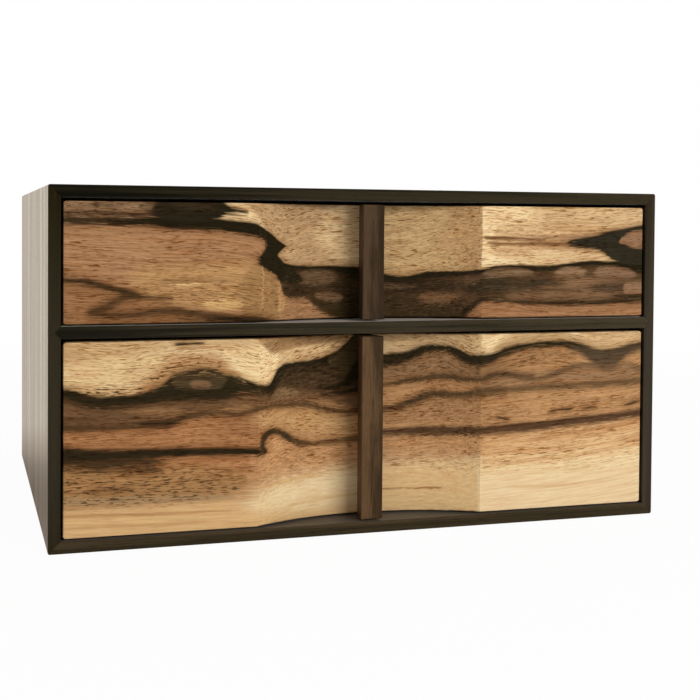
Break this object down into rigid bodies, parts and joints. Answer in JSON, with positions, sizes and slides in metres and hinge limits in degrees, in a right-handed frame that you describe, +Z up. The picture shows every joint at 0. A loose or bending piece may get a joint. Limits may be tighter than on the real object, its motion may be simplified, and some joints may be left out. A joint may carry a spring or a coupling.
{
  "type": "small tansu chest",
  "caption": "Low tabletop chest of drawers in dark mitred boards, with hollowed figured wood drawer fronts and upright undercut pull bars.",
  "frame": {"origin": "middle of the underside, on the surface that the chest stands on", "axes": "+Z up, -Y towards the person who opens the drawers, +X to that person's right"},
  "size_m": [0.35, 0.285, 0.19],
  "materials": {
    "case_wood": "dark hardwood, wiped oil, satin",
    "pull_wood": "dark hardwood, wiped oil, satin",
    "front_wood": "light wood with black figure, wiped oil, satin",
    "drawer_wood": "plain pale softwood, unfinished",
    "back_wood": "plain pale wood, oiled",
    "peg_wood": "hard pale wood, end grain",
    "screw_brass": "plain brass, slotted head"
  },
  "bodies": {
    "case": {"top_board": "case_wood", "bottom_board": "case_wood", "left_side_board": "case_wood", "right_side_board": "case_wood", "corner_spline_top_left": "case_wood", "corner_spline_top_right": "case_wood", "corner_spline_bottom_left": "case_wood", "corner_spline_bottom_right": "case_wood", "divider_rail": "case_wood", "divider_panel": "drawer_wood", "back_panel": "back_wood", "upper_stop_left": "drawer_wood", "upper_stop_right": "drawer_wood", "lower_stop_left": "drawer_wood", "lower_stop_right": "drawer_wood"},
    "upper_drawer": {"upper_drawer_front": "front_wood", "upper_drawer_pull": "pull_wood", "upper_pull_screws": "screw_brass", "upper_drawer_left_side": "drawer_wood", "upper_drawer_right_side": "drawer_wood", "upper_drawer_back": "drawer_wood", "upper_drawer_bottom": "drawer_wood", "upper_drawer_pegs": "peg_wood"},
    "lower_drawer": {"lower_drawer_front": "front_wood", "lower_drawer_pull": "pull_wood", "lower_pull_screws": "screw_brass", "lower_drawer_left_side": "drawer_wood", "lower_drawer_right_side": "drawer_wood", "lower_drawer_back": "drawer_wood", "lower_drawer_bottom": "drawer_wood", "lower_drawer_pegs": "peg_wood"}
  },
  "joints": [
    {"name": "upper_drawer_slide", "type": "slide", "parent": "case", "child": "upper_drawer", "axis": [0, -1, 0], "range_m": [0, 0.21]},
    {"name": "lower_drawer_slide", "type": "slide", "parent": "case", "child": "lower_drawer", "axis": [0, -1, 0], "range_m": [0, 0.21]}
  ]
}
